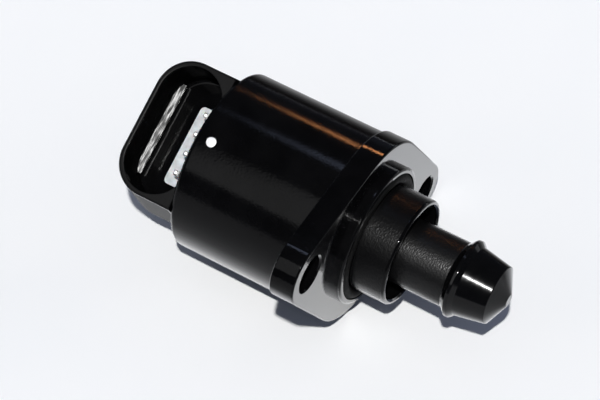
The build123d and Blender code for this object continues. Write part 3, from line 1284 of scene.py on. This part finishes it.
@dataclass
class Rotor:
    """Hub, ring magnet and threaded brass nut.

    Attributes:
        thread: Thread of the screw that the nut drives.
        fit: Clearance of the nut's thread round the screw's.
        columns: Points round the bore.
        row: Distance between rows of points along the bore.
    """

    thread: Thread
    fit: float = 0.05 * MM
    columns: int = 64
    row: float = 0.08 * MM

    def build_nut(self) -> bpy.types.Object:
        """The nut, a ring whose bore is the screw's thread with a clearance.

        The profile goes along the outside from rear to front, over the front face, back along the bore, and
        over the rear face. The bore's radius is the thread's radius plus the clearance.

        Returns:
            The new piece.
        """
        low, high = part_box("lead_nut")
        outer = (high.y - low.y) / 2
        turn = one_turn(self.columns)
        bore_x = np.arange(high.x, low.x, -self.row)
        bore_x = np.append(bore_x, low.x)[:, None]
        run = (low.x - self.thread.pitch, high.x + self.thread.pitch)
        bore_r = self.thread.radius(bore_x, turn, run) + self.fit
        side_x = np.array([[low.x], [high.x]])
        side_r = np.full((2, self.columns), outer)
        x = np.concatenate([side_x, bore_x])
        return surface("threaded_nut", about_axis(x, np.vstack([side_r, bore_r]), turn), Ends.JOINED)

    def build(self, nodes: Nodes) -> None:
        """Dresses the hub and the magnet and adds the nut.

        Args:
            nodes: Objects of the solids by name.
        """
        hub = PaleMoulding("hub_natural", dark=(0.66, 0.63, 0.55), light=(0.8, 0.78, 0.7))
        dress(nodes, {"rotor_hub": hub, "rotor_magnet": Ferrite("ground_ferrite")})
        brass = Metal("turned_brass", dark=(0.6, 0.42, 0.16), light=(0.76, 0.58, 0.27))
        seat(self.build_nut(), Body.ROTOR, "nut_brass", brass, "lead_nut")


@dataclass
class Plunger:
    """Screw that the nut drives in and out, and the pintle on its end.

    Attributes:
        thread: Thread of the screw.
        lying: How the valve lies.
        flat: Half the width across the two flats that stop it from turning.
        skirt: Depth of the pintle's skirt, where the flats end.
        chamfer: Bevel at both ends of the screw.
        columns: Points round the screw.
        row: Distance between rows of points along the screw.
    """

    thread: Thread
    lying: Lying
    flat: float = 1.55 * MM
    skirt: float = 6.0 * MM
    chamfer: float = 0.3 * MM
    columns: int = 80
    row: float = 0.08 * MM

    def build_screw(self) -> bpy.types.Object:
        """The screw, with its thread, its two flats and bevelled ends.

        The radius is the least of three: the thread's radius, the crest's radius less what the bevel takes near
        an end, and between the nut and the pintle half the width across the flats over the size of the cosine
        of the turn from their normal.

        Returns:
            The new piece.
        """
        low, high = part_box("lead_screw")
        nut_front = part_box("lead_nut")[1].x
        skirt_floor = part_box("pintle")[0].x + self.skirt
        turn = one_turn(self.columns)
        x = np.linspace(low.x, high.x, round((high.x - low.x) / self.row))[:, None]
        radius = self.thread.radius(x, turn, (low.x - self.thread.pitch, skirt_floor))
        bevel = self.thread.crest_r - np.clip(self.chamfer - np.minimum(x - low.x, high.x - x), 0, None)
        across = np.maximum(np.abs(np.cos(turn - self.lying.roll)), TINY)
        flats = np.where((x > nut_front) & (x < skirt_floor), self.flat / across, self.thread.crest_r)
        radius = np.minimum(np.minimum(radius, bevel), flats)
        return surface("threaded_screw", about_axis(x, radius, turn), Ends.CAPPED)

    def build(self, nodes: Nodes) -> None:
        """Dresses the pintle and adds the screw.

        Args:
            nodes: Objects of the solids by name.
        """
        dress(nodes, {"pintle": PlungerMoulding("plunger_black")})
        steel = Metal("rolled_steel", dark=(0.42, 0.42, 0.43), light=(0.62, 0.62, 0.63), rough=(0.2, 0.34))
        seat(self.build_screw(), Body.PLUNGER, "screw_steel", steel, "lead_screw")


# Studio


class Shape(Enum):
    """Outlines of a lamp, with the share of its box that each one fills."""

    ELLIPSE = math.pi / 4
    RECTANGLE = 1.0


@dataclass(frozen=True)
class Lamp:
    """A flat lamp that faces the valve.

    Attributes:
        name: Name of the lamp.
        azimuth: Direction from the valve, in degrees from +X towards +Y.
        elevation: Height over the horizon in degrees.
        distance: Distance from the valve.
        width: Size along the horizon.
        height: Size up the slope.
        level: Brightness of its face.
        tint: Colour of its light.
        shape: Outline of the lamp.
        gloss_only: Whether the lamp shows in gloss alone and lights nothing else.
    """

    name: str
    azimuth: float
    elevation: float
    distance: float
    width: float
    height: float
    level: float
    tint: Colour = (1.0, 1.0, 1.0)
    shape: Shape = Shape.RECTANGLE
    gloss_only: bool = True

    def place(self) -> Vector:
        """Where the lamp stands.

        Returns:
            Its place, with the valve at the origin.
        """
        azimuth, elevation = math.radians(self.azimuth), math.radians(self.elevation)
        aside = math.cos(elevation)
        towards = Vector((aside * math.cos(azimuth), aside * math.sin(azimuth), math.sin(elevation)))
        return towards * self.distance

    def build(self) -> None:
        """Adds the lamp, with the power that gives its face its brightness."""
        data = bpy.data.lights.new(self.name, "AREA")
        data.shape = self.shape.name
        data.size, data.size_y = self.width, self.height
        area = self.width * self.height * self.shape.value
        data.energy = POWER_SHARE * area * self.level
        data.color = self.tint
        lamp = put(self.name, data)
        lamp.location = self.place()
        lamp.rotation_euler = (-self.place()).to_track_quat("-Z", "Y").to_euler()
        lamp.visible_diffuse = not self.gloss_only


@dataclass
class Studio:
    """White floor, lamps, dim room and camera.

    Attributes:
        camera_place: Where the camera stands.
        camera_aim: Where it looks, as a direction.
        lens: Focal length in millimetres.
        sensor: Width of the sensor in millimetres.
        nearest: Distance from which the camera sees.
        floor_half: Half the width of the floor.
        room: Colour of the dim room.
        room_gloss: Share of the room's light that gloss shows.
        sheet_x: First and last place of the sheet of painted reflection along X.
        sheet_y: First and last place of the sheet of painted reflection along Y.
        sheet_gap: Height of the sheet of painted reflection over the floor.
    """

    camera_place: Point = (0.1271, -0.2322, 0.3686)
    camera_aim: Point = (-0.3093, 0.5063, -0.8050)
    lens: float = 150.0
    sensor: float = 36.0
    nearest: float = 0.01
    floor_half: float = 3.0
    room: Colour = (0.124, 0.14, 0.188)
    room_gloss: float = 0.45
    sheet_x: Range = (-0.8, 0.08)
    sheet_y: Range = (0.036, 1.5)
    sheet_gap: float = 1.0 * MM

    def lamps(self) -> tuple[Lamp, ...]:
        """The lamps: a small one near the lens, and what the black plastic mirrors round the room.

        Returns:
            The lamps, the main one first.
        """
        key = Lamp(
            "key_lamp", azimuth=-63.0, elevation=62.6, distance=1.0, width=0.026, height=0.026, level=4440.0,
            tint=(1.0, 0.985, 0.96), shape=Shape.ELLIPSE, gloss_only=False,
        )
        glint = replace(key, name="key_glint", level=12000.0, tint=(1.0, 1.0, 1.0), gloss_only=True)
        warm = Lamp(
            "warm_lamp", azimuth=109.0, elevation=25.5, distance=0.81, width=0.08, height=0.022, level=36.0,
            tint=(1.0, 0.41, 0.16),
        )
        window = Lamp(
            "window", azimuth=126.0, elevation=61.5, distance=0.9, width=0.1, height=0.09, level=5.0,
            tint=(0.62, 0.72, 1.0),
        )
        side = Lamp(
            "side_panel", azimuth=-108.5, elevation=44.8, distance=0.604, width=0.245, height=0.4, level=1.6
        )
        return key, glint, warm, window, side

    def build_ground(self, name: str, x: Range, y: Range, height: float, finish: Finish) -> bpy.types.Object:
        """A flat rectangle of the stage, from every pairing of two ranges.

        Args:
            name: Name of the new object.
            x: First and last place along X.
            y: First and last place along Y.
            height: Height of the rectangle.
            finish: Its finish.

        Returns:
            The object, marked as stage.
        """
        across, along = np.meshgrid(x, y, indexing="ij")
        places = np.stack([across, along, np.full((2, 2), height)], axis=-1)
        mesh = bpy.data.meshes.new(name)
        mesh.from_pydata(places.reshape(-1, 3).tolist(), [], [[0, 2, 3, 1]])
        ground = put(name, mesh)
        finish.coat(ground)
        ground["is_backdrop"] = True
        return ground

    def build_floor(self, height: float) -> None:
        """Adds the floor, and over its far part a sheet of painted dark reflection that only gloss shows.

        Args:
            height: Height of the floor.
        """
        reach = (-self.floor_half, self.floor_half)
        key = self.lamps()[0].place()
        near = (key - Vector((0, 0, height))).length
        self.build_ground("floor", reach, reach, height, Paper("white_floor", tuple(key), near))
        # Sheet of painted reflection: seen only in gloss, it darkens what the valve mirrors of the floor behind
        # it.
        sheet = self.build_ground(
            "dark_sheet", self.sheet_x, self.sheet_y, height + self.sheet_gap, PaintedReflectionSheet("dark_paper")
        )
        sheet.visible_camera = sheet.visible_diffuse = False
        sheet.visible_shadow = sheet.visible_transmission = False

    def build_camera(self) -> None:
        """Adds the camera at the photograph's viewing angle."""
        data = bpy.data.cameras.new("camera")
        data.lens = self.lens
        data.sensor_width = self.sensor
        data.clip_start = self.nearest
        camera = put("camera", data)
        camera.location = self.camera_place
        camera.rotation_euler = Vector(self.camera_aim).to_track_quat("-Z", "Y").to_euler()
        bpy.context.scene.camera = camera

    def build_room(self) -> None:
        """Adds the dim room, whose far walls are darker in gloss than in the light that they give."""
        world = bpy.data.worlds.new("room")
        world.use_nodes = True
        nodes, links = world.node_tree.nodes, world.node_tree.links
        background = nodes["Background"]
        background.inputs["Color"].default_value = (*self.room, 1)
        level = nodes.new("ShaderNodeMapRange")
        level.inputs["To Min"].default_value = 1.0
        level.inputs["To Max"].default_value = self.room_gloss
        links.new(nodes.new("ShaderNodeLightPath").outputs["Is Glossy Ray"], level.inputs["Value"])
        links.new(level.outputs[0], background.inputs["Strength"])
        bpy.context.scene.world = world

    def build(self, floor_height: float) -> None:
        """Adds floor, lamps, room and camera.

        Args:
            floor_height: Height of the floor under the valve.
        """
        bpy.context.scene.view_settings.view_transform = "Standard"
        self.build_room()
        self.build_floor(floor_height)
        for lamp in self.lamps():
            lamp.build()
        self.build_camera()


def corners(box: tuple[Vector, Vector]) -> list[list[float]]:
    """The two corners of a box as plain lists."""
    return [[float(value) for value in corner] for corner in box]


def main() -> None:
    """Loads the solids, dresses them, adds the small parts and sets the studio."""
    logging.basicConfig(level=logging.INFO, format="%(name)s: %(message)s")
    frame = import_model()
    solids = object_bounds()
    nodes = frame["nodes"]
    lying = Lying.of_record(frame["record"])
    low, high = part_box("lead_screw")
    thread = Thread(crest_r=(high.z - low.z) / 2)
    for assembly in (
        Housing(lying),
        Connector(),
        Cover(),
        Stator(),
        Rotor(thread),
        Plunger(thread, lying),
    ):
        assembly.build(nodes)
    Studio().build(solids[0].z)


if __name__ == "__main__":
    main()
